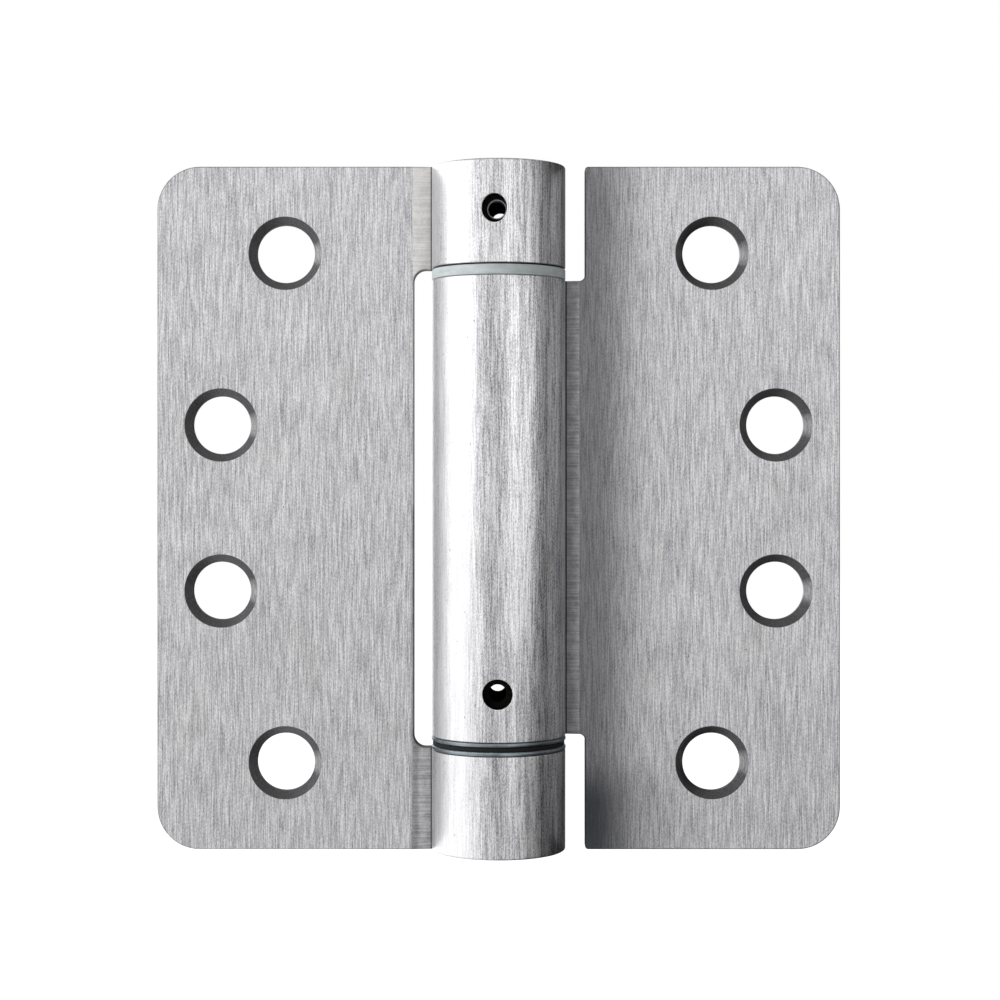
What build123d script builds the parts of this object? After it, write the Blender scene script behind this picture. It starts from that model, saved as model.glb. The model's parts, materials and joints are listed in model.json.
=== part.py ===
import os
from math import asin, atan, cos, degrees, hypot, pi, radians, sin, sqrt

from build123d import *

# Spring loaded butt hinge, open flat. Millimetres. The pin axis is Z, the origin is on it at mid height.
# The countersunk faces look along -Y. The jamb leaf is at -X and the door leaf at +X.

# Leaves
leaf_height = 101.6
leaf_reach = 50.8
sheet = 2.3
closed_gap = 1.6
corner_radius = 6.35

# Barrel, rolled from the leaves' own sheet
barrel_radius = 9.9
seam_gap = 0.25
bend_radius = 2.0
roll_start_radius = 0.7
rim_break = 0.3
knuckle_setback = 0.3
top_knuckle_length = 15.05
bottom_knuckle_length = 14.9
top_joint_height = 1.65
bottom_joint_height = 1.95

# Pressed strip where each leaf runs into its knuckles, and the notches beside the other leaf's knuckles
jamb_strip_width = 2.9
door_strip_width = 2.1
strip_drop = 0.45
jamb_notch_gap = 2.7
jamb_notch_round = 1.8
door_notch_gap = 2.95
door_notch_round = 0.9
door_tip_round = 0.5

# Screw holes
end_hole_inset = 12.9
end_hole_margin = 19.05
middle_hole_margin = 9.5
middle_hole_spacing = 24.7
screw_hole_radius = 4.3
head_radius = 5.45
head_angle = 82

# Cross holes through the barrel, for a tension pin and for holding the anchor
tension_hole_width = 3.6
tension_hole_height = 4.1
tension_hole_drop = 7.15
tension_hole_offset = -0.6
anchor_hole_radius = 2.15
anchor_hole_rise = 7.0
anchor_hole_offset = -0.15

# Fits
seat_clearance = 0.02
running_clearance = 0.07
end_play = 0.1

# Tension adjuster and the ring that keeps it in the top knuckle
retainer_thickness = 1.1
retainer_recess = 0.3
retainer_width = 3.0
pin_hole_radius = 1.28
pin_hole_turn = -2.1
pin_holes_across = 3
socket_across_flats = 4.0
socket_depth = 4.0

# Bushes, bearing rings and pivot
upper_flange_thickness = 1.5
upper_bush_depth = 5.6
upper_bush_wall = 1.35
lower_bush_depth = 4.4
lower_bush_wall = 2.55
race_thickness = 0.65
race_stand_out = 0.05
race_break = 0.2
bearing_washer_setback = 0.15
bearing_play = 0.03
shank_rise = 4.0
shank_chamfer = 0.5
race_bore_clearance = 0.15
pivot_recess = 0.3

# Torsion spring and the noses that hold its ends
wire = 2.8
spring_clearance = 0.33
turn_gap = 0.2
turn_sides = 10
elbow_sides = 4
wire_sides = 6
elbow_radius = 2.0
tang_clearance = 0.3
slot_clearance = 0.08
nose_stand_up = 1.0
anchor_shoulder_rise = 12.5
anchor_pin_hole_radius = 1.27

# Leaf and barrel places that follow from those sizes
leaf_end = leaf_height / 2
barrel_end = leaf_end - knuckle_setback
leaf_face = closed_gap / 2
leaf_back = leaf_face + sheet
strip_face = leaf_face + strip_drop
bore_radius = barrel_radius - sheet
seat_radius = bore_radius - seat_clearance
neck_radius = seat_radius - upper_bush_wall - running_clearance
shank_radius = seat_radius - lower_bush_wall - running_clearance
retainer_bore = seat_radius - retainer_width
top_knuckle_end = barrel_end - top_knuckle_length
centre_knuckle_top = top_knuckle_end - top_joint_height
bottom_knuckle_end = bottom_knuckle_length - barrel_end
centre_knuckle_bottom = bottom_knuckle_end + bottom_joint_height
jamb_notch_edge = barrel_radius + jamb_notch_gap
door_notch_edge = barrel_radius + door_notch_gap
setback_start = barrel_radius + seam_gap
jamb_strip_start = barrel_radius + jamb_strip_width
door_strip_start = barrel_radius + door_strip_width
end_hole_reach = leaf_reach - end_hole_margin
end_hole_height = leaf_end - end_hole_inset
middle_hole_reach = leaf_reach - middle_hole_margin
middle_hole_height = middle_hole_spacing / 2
tension_hole_middle = barrel_end - tension_hole_drop
anchor_hole_middle = centre_knuckle_bottom + anchor_hole_rise
far_off = 4 * barrel_radius
near = 0.01

# Places along the barrel's inside
upper_flange_top = centre_knuckle_top + upper_flange_thickness
upper_bush_end = centre_knuckle_top - upper_bush_depth
retainer_bottom = barrel_end - retainer_recess - retainer_thickness
adjuster_top = retainer_bottom - end_play
adjuster_head_end = upper_flange_top + end_play
adjuster_shoulder = upper_bush_end - end_play
upper_race_bottom = centre_knuckle_bottom - race_thickness
lower_race_top = bottom_knuckle_end + race_thickness
lower_bush_top = centre_knuckle_bottom + lower_bush_depth
shank_top = centre_knuckle_bottom + shank_rise
anchor_shoulder_height = centre_knuckle_bottom + anchor_shoulder_rise
race_bore = shank_radius + race_bore_clearance

# Spring: coils at spring_radius, then at each end an elbow that turns inwards to a tang across the axis.
# Its round wire is drawn with wire_sides flats, and its turns and elbows as short straight lengths.
spring_radius = bore_radius - spring_clearance - wire / 2
elbow_turn = 90 + degrees(asin(elbow_radius / (spring_radius - elbow_radius)))
elbow_reach = sqrt((spring_radius - elbow_radius) ** 2 - elbow_radius**2)
spring_bore = spring_radius * cos(pi / turn_sides) - wire / 2
tang_tip_reach = sqrt((spring_bore - tang_clearance) ** 2 - (wire / 2) ** 2)
tang_length = elbow_reach + tang_tip_reach
slot_width = wire + 2 * slot_clearance
slot_angle = elbow_turn - 90
nose_radius = hypot(elbow_reach, slot_width / 2)
nose_height = wire + nose_stand_up
spring_room = adjuster_shoulder - anchor_shoulder_height - wire - 2 * end_play
spring_turns = int(spring_room / (wire + turn_gap))
spring_pitch = spring_room / (spring_turns + elbow_radius / (pi * spring_radius))
spring_slope = atan(spring_pitch / (2 * pi * spring_radius))
coil_height = spring_turns * spring_pitch
coil_start = (anchor_shoulder_height + adjuster_shoulder - coil_height) / 2


def folded_section(side, strip_start):
    """The sheet's section along the pin: flat plate, pressed strip, and a roll that goes round the back
    and ends at a seam just in front of the strip. side is -1 for the jamb leaf and 1 for the door leaf."""
    roll_start = sqrt(bore_radius**2 - strip_face**2)
    roll_back = sqrt(barrel_radius**2 - leaf_back**2)
    with BuildSketch() as section:
        Circle(barrel_radius)
        with BuildLine():
            Polyline(
                (side * leaf_reach, leaf_face),
                (side * strip_start, leaf_face),
                (side * barrel_radius, strip_face),
                (side * roll_start, strip_face),
                (side * roll_start, leaf_back),
                (side * leaf_reach, leaf_back),
                close=True,
            )
        make_face()
        fillet(section.vertices().sort_by_distance((side * roll_back, leaf_back))[0], radius=bend_radius)
        Circle(bore_radius, mode=Mode.SUBTRACT)
        with Locations((side * (barrel_radius - sheet), strip_face)):
            Rectangle(2 * sheet, seam_gap, align=(Align.CENTER, Align.MAX), mode=Mode.SUBTRACT)
        inner_corner = section.vertices().sort_by_distance((side * roll_start, strip_face))[0]
        fillet(inner_corner, radius=roll_start_radius)
    return section.sketch


def screw_hole_places(side):
    """Where one leaf's four screws go in: on its front face, looking out of the leaf."""
    ends = [(end_hole_reach, row * end_hole_height) for row in (-1, 1)]
    middles = [(middle_hole_reach, row * middle_hole_height) for row in (-1, 1)]
    return [Plane(origin=(side * x, leaf_face, z), z_dir=(0, -1, 0)) for x, z in ends + middles]


def outer_rims(leaf):
    """The round outer edges of the knuckles that lie at the barrel's two ends."""
    rims = leaf.edges().filter_by(GeomType.CIRCLE).filter_by(lambda e: abs(e.radius - barrel_radius) < near)
    return rims.filter_by(lambda e: abs(abs(e.center().Z) - barrel_end) < near)


def tang_plane(height, way):
    """A plane that starts at a coil's end, runs on along the wire and holds the inward direction.
    way is 1 at the coil's upper end and -1 at its lower end."""
    run_y = way * cos(spring_slope)
    run_z = way * sin(spring_slope)
    return Plane(origin=(spring_radius, 0, height), x_dir=(0, run_y, run_z), z_dir=(0, -run_z, run_y))


def wire_end(height, way):
    """The wire's path beyond one end of its coils: round the elbow, then straight to the tang's tip."""
    turns = [radians(elbow_turn) * step / elbow_sides for step in range(1, elbow_sides + 1)]
    path = [(elbow_radius * sin(turn), elbow_radius * (1 - cos(turn))) for turn in turns]
    elbow_x, elbow_y = path[-1]
    path.append((elbow_x + tang_length * cos(turns[-1]), elbow_y + tang_length * sin(turns[-1])))
    return [tang_plane(height, way).from_local_coords((x, y, 0)) for x, y in path]


# The jamb leaf: one folded sheet, with the top and bottom knuckles
with BuildPart() as jamb_leaf:
    add(folded_section(-1, jamb_strip_start))
    extrude(amount=leaf_end, both=True)
    with BuildSketch(Plane.XZ) as jamb_notch:
        with Locations((-jamb_notch_edge, bottom_knuckle_end)):
            Rectangle(far_off, top_knuckle_end - bottom_knuckle_end, align=(Align.MIN, Align.MIN))
        fillet(jamb_notch.vertices().group_by(Axis.X)[0], radius=jamb_notch_round)
        with Locations((-setback_start, barrel_end)):
            Rectangle(far_off, far_off, align=(Align.MIN, Align.MIN))
        with Locations((-setback_start, -barrel_end)):
            Rectangle(far_off, far_off, align=(Align.MIN, Align.MAX))
    extrude(amount=far_off, both=True, mode=Mode.SUBTRACT)
    fillet(jamb_leaf.edges().filter_by(Axis.Y).group_by(Axis.X)[0], radius=corner_radius)
    chamfer(outer_rims(jamb_leaf), length=rim_break)
    with Locations(*screw_hole_places(-1)):
        CounterSinkHole(radius=screw_hole_radius, counter_sink_radius=head_radius,
                        counter_sink_angle=head_angle)
    with BuildSketch(Plane.XZ):
        with Locations((tension_hole_offset, tension_hole_middle)):
            Ellipse(tension_hole_width / 2, tension_hole_height / 2)
    extrude(amount=far_off, both=True, mode=Mode.SUBTRACT)

# The door leaf: one folded sheet, with the long centre knuckle
with BuildPart() as door_leaf:
    add(folded_section(1, door_strip_start))
    extrude(amount=leaf_end, both=True)
    with BuildSketch(Plane.XZ) as door_notches:
        with Locations((door_notch_edge, centre_knuckle_top)):
            Rectangle(far_off, far_off, align=(Align.MAX, Align.MIN))
        with Locations((door_notch_edge, centre_knuckle_bottom)):
            Rectangle(far_off, far_off, align=(Align.MAX, Align.MAX))
        inner_corners = [v for v in door_notches.vertices().group_by(Axis.X)[-1] if abs(v.Z) < leaf_end]
        fillet(inner_corners, radius=door_notch_round)
    extrude(amount=far_off, both=True, mode=Mode.SUBTRACT)
    fillet(door_leaf.edges().filter_by(Axis.Y).group_by(Axis.X)[-1], radius=corner_radius)
    tips = door_leaf.edges().filter_by(Axis.Y).filter_by(lambda e: abs(e.center().X - door_notch_edge) < near)
    fillet(tips.filter_by(lambda e: abs(abs(e.center().Z) - leaf_end) < near), radius=door_tip_round)
    with Locations(*screw_hole_places(1)):
        CounterSinkHole(radius=screw_hole_radius, counter_sink_radius=head_radius,
                        counter_sink_angle=head_angle)
    with Locations(Plane(origin=(anchor_hole_offset, 0, anchor_hole_middle), z_dir=(0, -1, 0))):
        Cylinder(radius=anchor_hole_radius, height=far_off, mode=Mode.SUBTRACT)

# The tension adjuster: turned head, neck and nose, with a hex socket, pin holes and the spring's slot
with BuildPart() as tension_adjuster:
    with BuildSketch(Plane.XZ):
        with BuildLine():
            head_radius_turned = bore_radius - running_clearance
            Polyline(
                (0, adjuster_top),
                (head_radius_turned, adjuster_top),
                (head_radius_turned, adjuster_head_end),
                (neck_radius, adjuster_head_end),
                (neck_radius, adjuster_shoulder),
                (nose_radius, adjuster_shoulder),
                (nose_radius, adjuster_shoulder - nose_height),
                (0, adjuster_shoulder - nose_height),
                close=True,
            )
        make_face()
    revolve(axis=Axis.Z)
    with BuildSketch(Plane.XY.offset(adjuster_top)):
        RegularPolygon(socket_across_flats / 2, 6, major_radius=False)
    extrude(amount=-socket_depth, mode=Mode.SUBTRACT)
    turns = [radians(pin_hole_turn) + pi * hole / pin_holes_across for hole in range(pin_holes_across)]
    with Locations(*[Plane(origin=(0, 0, tension_hole_middle), z_dir=(sin(t), -cos(t), 0)) for t in turns]):
        Cylinder(radius=pin_hole_radius, height=far_off, mode=Mode.SUBTRACT)
    with BuildSketch(Plane.XY.offset(adjuster_shoulder)):
        Rectangle(far_off, slot_width, rotation=slot_angle)
    extrude(amount=-far_off, mode=Mode.SUBTRACT)

# The ring pressed in over the adjuster
with BuildPart() as adjuster_retainer:
    with BuildSketch(Plane.XY.offset(retainer_bottom)):
        Circle(seat_radius)
        Circle(retainer_bore, mode=Mode.SUBTRACT)
    extrude(amount=retainer_thickness)

# The upper bush: a flange between the knuckles and a sleeve down inside the centre one
with BuildPart() as upper_bush:
    with BuildSketch(Plane.XY.offset(centre_knuckle_top)):
        Circle(barrel_radius)
    extrude(amount=upper_flange_thickness)
    with BuildSketch(Plane.XY.offset(upper_bush_end)):
        Circle(seat_radius)
    extrude(amount=upper_bush_depth)
    with BuildSketch(Plane.XY.offset(upper_bush_end)):
        Circle(neck_radius + running_clearance)
    extrude(amount=far_off, mode=Mode.SUBTRACT)

# The torsion spring: one wire, from tang to tang
with BuildPart() as torsion_spring:
    steps = range(spring_turns * turn_sides + 1)
    angles = [2 * pi * step / turn_sides for step in steps]
    heights = [coil_start + spring_pitch * step / turn_sides for step in steps]
    coils = [(spring_radius * cos(a), spring_radius * sin(a), z) for a, z in zip(angles, heights)]
    lower_end = wire_end(coil_start, -1)
    upper_end = wire_end(coil_start + coil_height, 1)
    with BuildLine() as wire_path:
        Polyline(*reversed(lower_end), *coils, *upper_end)
    with BuildSketch(Plane(origin=wire_path.line @ 0, z_dir=wire_path.line % 0)):
        RegularPolygon(wire / 2, wire_sides)
    sweep(path=wire_path.line, transition=Transition.RIGHT)

# The anchor: fixed in the centre knuckle, with a slotted nose for the spring's lower tang
with BuildPart() as spring_anchor:
    with BuildSketch(Plane.XY.offset(lower_bush_top)):
        Circle(seat_radius)
    extrude(amount=anchor_shoulder_height - lower_bush_top)
    with BuildSketch(Plane.XY.offset(anchor_shoulder_height)):
        Circle(nose_radius)
    extrude(amount=nose_height)
    with BuildSketch(Plane.XY.offset(anchor_shoulder_height)):
        Rectangle(far_off, slot_width, rotation=-slot_angle)
    extrude(amount=far_off, mode=Mode.SUBTRACT)
    with Locations(Plane(origin=(anchor_hole_offset, 0, anchor_hole_middle), z_dir=(0, -1, 0))):
        Cylinder(radius=anchor_pin_hole_radius, height=far_off, mode=Mode.SUBTRACT)

# The lower bush, in the centre knuckle's lower end
with BuildPart() as lower_bush:
    with BuildSketch(Plane.XY.offset(centre_knuckle_bottom)):
        Circle(seat_radius)
        Circle(shank_radius + running_clearance, mode=Mode.SUBTRACT)
    extrude(amount=lower_bush_depth)

# The bearing: a steel ring on each knuckle, with broken rims, and a black ring between them
with BuildPart() as upper_race:
    with BuildSketch(Plane.XY.offset(upper_race_bottom)):
        Circle(barrel_radius + race_stand_out)
        Circle(race_bore, mode=Mode.SUBTRACT)
    extrude(amount=race_thickness)
    chamfer(upper_race.edges().group_by(Axis.Z)[0].sort_by(SortBy.RADIUS)[-1], length=race_break)

with BuildPart() as lower_race:
    with BuildSketch(Plane.XY.offset(bottom_knuckle_end)):
        Circle(barrel_radius + race_stand_out)
        Circle(race_bore, mode=Mode.SUBTRACT)
    extrude(amount=race_thickness)
    chamfer(lower_race.edges().group_by(Axis.Z)[-1].sort_by(SortBy.RADIUS)[-1], length=race_break)

with BuildPart() as bearing_washer:
    with BuildSketch(Plane.XY.offset(lower_race_top)):
        Circle(barrel_radius - bearing_washer_setback)
        Circle(race_bore, mode=Mode.SUBTRACT)
    extrude(amount=upper_race_bottom - lower_race_top - bearing_play)

# The pivot plug: its head fills the bottom knuckle, its shank carries the centre knuckle's bush
with BuildPart() as pivot_plug:
    with BuildSketch(Plane.XY.offset(pivot_recess - barrel_end)):
        Circle(seat_radius)
    extrude(amount=bottom_knuckle_length - pivot_recess)
    with BuildSketch(Plane.XY.offset(bottom_knuckle_end)):
        Circle(shank_radius)
    extrude(amount=shank_top - bottom_knuckle_end)
    chamfer(pivot_plug.edges().group_by(Axis.Z)[-1], length=shank_chamfer)

pieces = {
    "jamb_leaf": jamb_leaf,
    "door_leaf": door_leaf,
    "tension_adjuster": tension_adjuster,
    "adjuster_retainer": adjuster_retainer,
    "upper_bush": upper_bush,
    "torsion_spring": torsion_spring,
    "spring_anchor": spring_anchor,
    "lower_bush": lower_bush,
    "upper_race": upper_race,
    "bearing_washer": bearing_washer,
    "lower_race": lower_race,
    "pivot_plug": pivot_plug,
}
os.makedirs("parts", exist_ok=True)
for name, piece in pieces.items():
    piece.part.label = name
    export_step(piece.part, f"parts/{name}.step")
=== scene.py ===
"""Looks of a spring loaded butt hinge, open flat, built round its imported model.

Metres. The pin axis is Z and the countersunk faces look along -Y.
"""

import json
import math

import bpy
import numpy as np
from mathutils.geometry import delaunay_2d_cdt
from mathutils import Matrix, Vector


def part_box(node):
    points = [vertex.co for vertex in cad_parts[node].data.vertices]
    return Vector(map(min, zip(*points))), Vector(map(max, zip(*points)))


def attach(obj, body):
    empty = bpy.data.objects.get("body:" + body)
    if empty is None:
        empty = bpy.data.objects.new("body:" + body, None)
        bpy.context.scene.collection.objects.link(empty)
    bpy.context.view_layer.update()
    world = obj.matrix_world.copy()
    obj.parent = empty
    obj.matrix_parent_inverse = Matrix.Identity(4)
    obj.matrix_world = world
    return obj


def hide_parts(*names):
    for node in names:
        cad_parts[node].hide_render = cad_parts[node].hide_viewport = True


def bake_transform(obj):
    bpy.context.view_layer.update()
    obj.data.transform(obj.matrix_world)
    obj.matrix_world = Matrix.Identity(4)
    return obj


bl_info = {
    "name": "Spring loaded door hinge",
    "version": (1, 0, 0),
    "blender": (4, 5, 0),
    "location": "View3D > Sidebar > Hinge",
    "description": "Builds a satin plated spring hinge round its packed model",
    "category": "Add Mesh",
}

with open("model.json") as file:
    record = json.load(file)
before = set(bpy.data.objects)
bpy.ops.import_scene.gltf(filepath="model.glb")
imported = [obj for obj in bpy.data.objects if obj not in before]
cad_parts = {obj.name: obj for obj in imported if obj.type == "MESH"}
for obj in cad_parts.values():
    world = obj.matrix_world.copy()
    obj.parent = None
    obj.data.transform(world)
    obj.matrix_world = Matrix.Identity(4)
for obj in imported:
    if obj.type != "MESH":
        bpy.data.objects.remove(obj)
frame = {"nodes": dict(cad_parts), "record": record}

MM = 0.001
LEAF_LOW, LEAF_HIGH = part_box("door_leaf")
BUSH_LOW, BUSH_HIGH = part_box("upper_bush")
UPPER_RACE_LOW, UPPER_RACE_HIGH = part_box("upper_race")
LOWER_RACE_LOW, LOWER_RACE_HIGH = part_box("lower_race")
WASHER_LOW, WASHER_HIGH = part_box("bearing_washer")
ADJUSTER_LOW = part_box("tension_adjuster")[0]
ANCHOR_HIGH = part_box("spring_anchor")[1]
MOUNTS = {mount["name"]: mount for mount in frame["record"]["mounts"]}


def length(name, description, millimetres):
    """A size that a user can change."""
    return bpy.props.FloatProperty(
        name=name, description=description, default=millimetres * MM, unit="LENGTH"
    )


def tint(name, description, default):
    """A colour that a user can change."""
    return bpy.props.FloatVectorProperty(
        name=name, description=description, default=default, subtype="COLOR"
    )


class LeafSizes(bpy.types.PropertyGroup):
    """Sizes of the two folded leaves."""

    sheet: length("Sheet", "Thickness of the leaves' sheet", 2.3)
    face: length("Face", "From the pin axis back to the front face", 0.8)
    strip_drop: length("Strip drop", "How far the strip beside the barrel is pressed in", 0.45)
    back_bend: length("Back bend", "Radius where the back runs into the roll", 2.0)
    inner_bend: length("Inner bend", "Radius where the strip runs into the bore", 0.7)
    seam_gap: length("Seam gap", "Between the roll's end and the strip", 0.25)
    corner: length("Corner", "Radius of the leaf's outer corners", 6.35)
    screw_hole: length("Screw hole", "Radius of the straight part of a screw hole", 4.3)
    screw_head: length("Screw head", "Radius of a countersink at the face", 5.45)
    head_angle: bpy.props.FloatProperty(
        name="Head angle", description="Countersink angle", default=math.radians(82), subtype="ANGLE"
    )
    face_round: length("Face round", "Rounding of the sheared edges in front", 0.22)
    back_round: length("Back round", "Rounding of the edges behind", 0.1)
    rim_round: length("Rim round", "Rounding of the barrel's two ends", 0.3)
    knuckle_round: length("Knuckle round", "Rounding of the knuckles where they meet", 0.2)
    knuckle_setback: length("Knuckle setback", "From the leaf's ends in to the barrel's", 0.3)
    jamb_strip: length("Jamb strip", "Width of the jamb leaf's pressed strip", 2.9)
    door_strip: length("Door strip", "Width of the door leaf's pressed strip", 2.1)
    jamb_notch: length("Jamb notch", "From the barrel to the jamb leaf's notch", 2.7)
    door_notch: length("Door notch", "From the barrel to the door leaf's notches", 2.95)
    jamb_notch_round: length("Jamb notch round", "Radius of the jamb notch's corners", 1.8)
    door_notch_round: length("Door notch round", "Radius of the door notches' corners", 0.9)
    door_tip_round: length("Door tip round", "Radius of the door leaf's tips beside the barrel", 0.5)


class HoleSizes(bpy.types.PropertyGroup):
    """Sizes and places of the cross holes in the barrel."""

    tension_width: length("Tension hole width", "Across the oval hole for the tension pin", 3.6)
    tension_height: length("Tension hole height", "Along the oval hole for the tension pin", 4.1)
    tension_offset: length("Tension hole offset", "From the axis, sideways", -0.6)
    tension_drop: length("Tension hole drop", "From the barrel's top end", 7.15)
    anchor_width: length("Anchor hole width", "Across the lower hole", 4.3)
    anchor_offset: length("Anchor hole offset", "From the axis, sideways", -0.15)
    anchor_rise: length("Anchor hole rise", "From the centre knuckle's lower end", 7.0)
    rim: length("Hole rim", "Rounding of the cross holes' outer rims", 0.2)


class BearingSizes(bpy.types.PropertyGroup):
    """Sizes of the bush and the bearing rings."""

    flange: length("Flange", "Thickness of the bush's flange", 1.5)
    flange_gap: length("Flange gap", "From the flange to the top knuckle", 0.15)
    seat_clearance: length("Seat clearance", "From the bush's sleeve to the bore", 0.02)
    bush_wall: length("Bush wall", "Thickness of the bush's sleeve", 1.35)
    race_bore: length("Race bore", "Radius of the rings' bores", 5.11)
    race_round: length("Race round", "Rounding of a steel ring's rim", 0.3)


class SpringSizes(bpy.types.PropertyGroup):
    """Sizes of the torsion spring."""

    wire: length("Wire", "Thickness of the wire", 2.8)
    clearance: length("Clearance", "From the coils to the bore", 0.33)
    turn_gap: length("Turn gap", "Least gap between two turns", 0.2)
    elbow: length("Elbow", "Radius of the bend into a tang", 2.0)
    tang_reach: length("Tang reach", "From the axis to the tip of a tang", 3.6)


class Finish(bpy.types.PropertyGroup):
    """Colours of the finishes."""

    streak: tint("Streak", "Dark brushing lines", (0.29, 0.288, 0.314))
    glint: tint("Glint", "Bright brushing lines", (0.9, 0.895, 0.9))
    # Dark cut metal with painted shade on the sheared edges and in the holes.
    cut: tint("Cut metal", "Dark cut metal in the holes and on the sheared edges", (0.02, 0.02, 0.021))
    seam: tint("Seam", "Shadow in the seam where the barrel closes", (0.012, 0.012, 0.014))
    nylon: tint("Nylon", "Grey bush between the upper knuckles", (0.46, 0.5, 0.51))
    race: tint("Race", "Polished bearing rings", (0.25, 0.285, 0.31))
    seal: tint("Seal", "Black ring between the races", (0.012, 0.012, 0.013))
    turned: tint("Turned", "Turned steel plugs at the barrel's ends", (0.34, 0.34, 0.34))
    # Partly painted shade: near black, so that the plugs seen through the cross holes give the shaded
    # inside.
    oiled_and_shaded: tint("Oiled", "Oiled plugs inside the cross holes", (0.018, 0.017, 0.015))
    wire: tint("Wire", "Oiled spring wire", (0.14, 0.14, 0.15))
    floor: tint("Floor", "Pale floor", (0.9, 0.9, 0.9))


def leaf_sizes():
    return bpy.context.scene.hinge_leaves


def finish():
    return bpy.context.scene.hinge_finish


class Shade:
    """A socket in a node tree. Sums on it add Math nodes, and node() adds any other one."""

    def __init__(self, tree, socket=None):
        self.tree = tree
        self.socket = socket

    def join(self, value, socket):
        if isinstance(value, Shade):
            self.tree.links.new(value.socket, socket)
        else:
            socket.default_value = value

    def node(self, kind, sockets=None, output=0, stops=(), **settings):
        """A new node's output. Stops are a ramp's places and grey levels."""
        made = self.tree.nodes.new(kind)
        for name, value in settings.items():
            setattr(made, name, value)
        for place, level in stops:
            made.color_ramp.elements.new(place).color = (level, level, level, 1)
        for key, value in (sockets or {}).items():
            self.join(value, made.inputs[key])
        return Shade(self.tree, made.outputs[output])

    def maths(self, operation, *values):
        return self.node("ShaderNodeMath", dict(enumerate(values)), operation=operation)

    def __add__(self, other):
        return self.maths("ADD", self, other)

    def __sub__(self, other):
        return self.maths("SUBTRACT", self, other)

    def __rsub__(self, other):
        return self.maths("SUBTRACT", other, self)

    def __mul__(self, other):
        return self.maths("MULTIPLY", self, other)

    def __truediv__(self, other):
        return self.maths("DIVIDE", self, other)

    def __pow__(self, other):
        return self.maths("POWER", self, other)

    def __abs__(self):
        return self.maths("ABSOLUTE", self)

    __radd__ = __add__
    __rmul__ = __mul__

    def rise(self, low, high):
        """0 below low, 1 above high, a smooth step between them. low above high gives a fall."""
        sockets = {"Value": self, "From Min": low, "From Max": high}
        return self.node("ShaderNodeMapRange", sockets, interpolation_type="SMOOTHSTEP")

    def between(self, low, high, edge):
        """1 from low to high, 0 further than edge outside them."""
        return self.rise(low - edge, low) * self.rise(high + edge, high)

    def blend(self, first, second):
        """The colour first where this is 0 and second where it is 1."""
        sockets = {0: self, 6: opaque(first), 7: opaque(second)}
        return self.node("ShaderNodeMix", sockets, output=2, data_type="RGBA")


def opaque(colour):
    return colour if isinstance(colour, Shade) else (*colour, 1)


def shades(colour, dark, light):
    """A darker and a lighter colour: its parts times dark, and times light up to 1."""
    return tuple(dark * part for part in colour), tuple(min(light * part, 1.0) for part in colour)


def mixed(grains, shares):
    """The sum of the named grains, each times its share."""
    return sum(grains[name] * share for name, share in shares.items())


LATTICE_TURN = (0.5, 0.65, 0.4)


class Paint:
    """A new material with its place on the piece in millimetres and its surface shader."""

    def __init__(self, name, metallic):
        self.material = bpy.data.materials.new(name)
        self.material.use_nodes = True
        self.tree = self.material.node_tree
        self.start = Shade(self.tree)
        self.shader = self.tree.nodes["Principled BSDF"]
        self.shader.inputs["Metallic"].default_value = metallic
        place = self.start.node("ShaderNodeTexCoord", output=3)
        self.place = self.start.node("ShaderNodeVectorMath", {0: place, 3: 1 / MM}, operation="SCALE")
        self.x, self.y, self.z = (
            self.start.node("ShaderNodeSeparateXYZ", {0: self.place}, output=axis) for axis in range(3)
        )

    def lattice(self, across, along, shift, turn=(0.0, 0.0, 0.0)):
        """The place counted in cells that are across by across by along millimetres, shifted and turned."""
        sockets = {
            "Vector": self.place,
            "Scale": (1 / across, 1 / across, 1 / along),
            "Rotation": turn,
            "Location": (shift, shift, shift),
        }
        return self.start.node("ShaderNodeMapping", sockets)

    def noise(self, across, along, detail=2.0, shift=0.0, roughness=0.55):
        """Noise of grains that are across by across by along millimetres, from about 0.2 to 0.8. Its
        lattice is turned, so that the grains don't end in rows."""
        cells = self.lattice(across, along, shift, LATTICE_TURN)
        sockets = {"Vector": cells, "Scale": 1.0, "Detail": detail, "Roughness": roughness}
        return self.start.node("ShaderNodeTexNoise", sockets)

    def specks(self, spacing, size, stretch=1.0, shift=0.0):
        """1 in scattered specks of a millimetre size, one in each cell of the spacing, 0 elsewhere."""
        cells = self.lattice(spacing, spacing * stretch, shift)
        sockets = {"Vector": cells, "Scale": 1.0, "Randomness": 1.0}
        distance = self.start.node("ShaderNodeTexVoronoi", sockets)
        return distance.rise(size / spacing, 0.5 * size / spacing)

    def mark(self, name):
        """The piece's own attribute of that name."""
        return self.start.node("ShaderNodeAttribute", output=2, attribute_name=name)

    def finish(self, colour, roughness, height=None, depth=0.0):
        """Links colour, roughness and bump, depth being the bump's height in millimetres."""
        self.start.join(opaque(colour), self.shader.inputs["Base Color"])
        self.start.join(roughness, self.shader.inputs["Roughness"])
        if height is not None:
            sockets = {"Height": height, "Distance": depth * MM, "Strength": 1.0}
            bump = self.start.node("ShaderNodeBump", sockets)
            self.start.join(bump, self.shader.inputs["Normal"])
        return self.material


# Painted shadow and dirt: the barrel's shadow on the door leaf, a dark band and a little all over.
SHADE_AND_GRIME = (0.04, 0.042, 0.05)
PIT = (0.09, 0.085, 0.08)
STAIN = (0.5, 0.46, 0.36)
# Strip colours: painted light on the jamb's upper half, darker below, the barrel's painted shadow on the
# door's.
LIT_STRIP = (0.84, 0.82, 0.78)
DARKER_STRIP = (0.33, 0.325, 0.32)
SHADOWED_STRIP = (0.16, 0.16, 0.165)
PIT_SHARE = 0.75
STAIN_SHARE = 0.12

# The pits' spacing, size in millimetres and stretch.
PLATE_PITS = (1.9, 0.12, 1.6)
BARREL_PITS = (0.8, 0.1, 2.2)
BARREL_PIT_SHIFT = 4

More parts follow.
